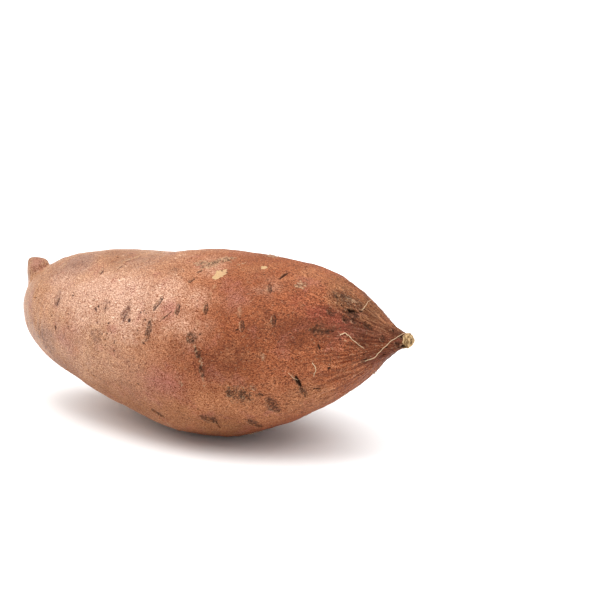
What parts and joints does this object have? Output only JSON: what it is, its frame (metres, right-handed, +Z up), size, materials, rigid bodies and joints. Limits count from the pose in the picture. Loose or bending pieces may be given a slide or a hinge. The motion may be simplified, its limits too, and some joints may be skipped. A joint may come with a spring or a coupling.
{
  "type": "sweet potato",
  "caption": "Sweet potato: a spindle-shaped storage root with a vine-end nub, eyes and a thin root tip, lying on a small flat spot of its belly.",
  "frame": {"origin": "bottom centre of the bounding box, on the surface that the root lies on", "axes": "+X along the root from the vine end to the root tip, +Y across it, +Z up"},
  "size_m": [0.1696, 0.0788, 0.0718],
  "materials": {
    "skin": "thin copper-orange root skin, satin, with pores, eyes, scars and a dry tan root tip"
  },
  "bodies": {
    "root": {"storage_root": "skin"}
  },
  "joints": []
}
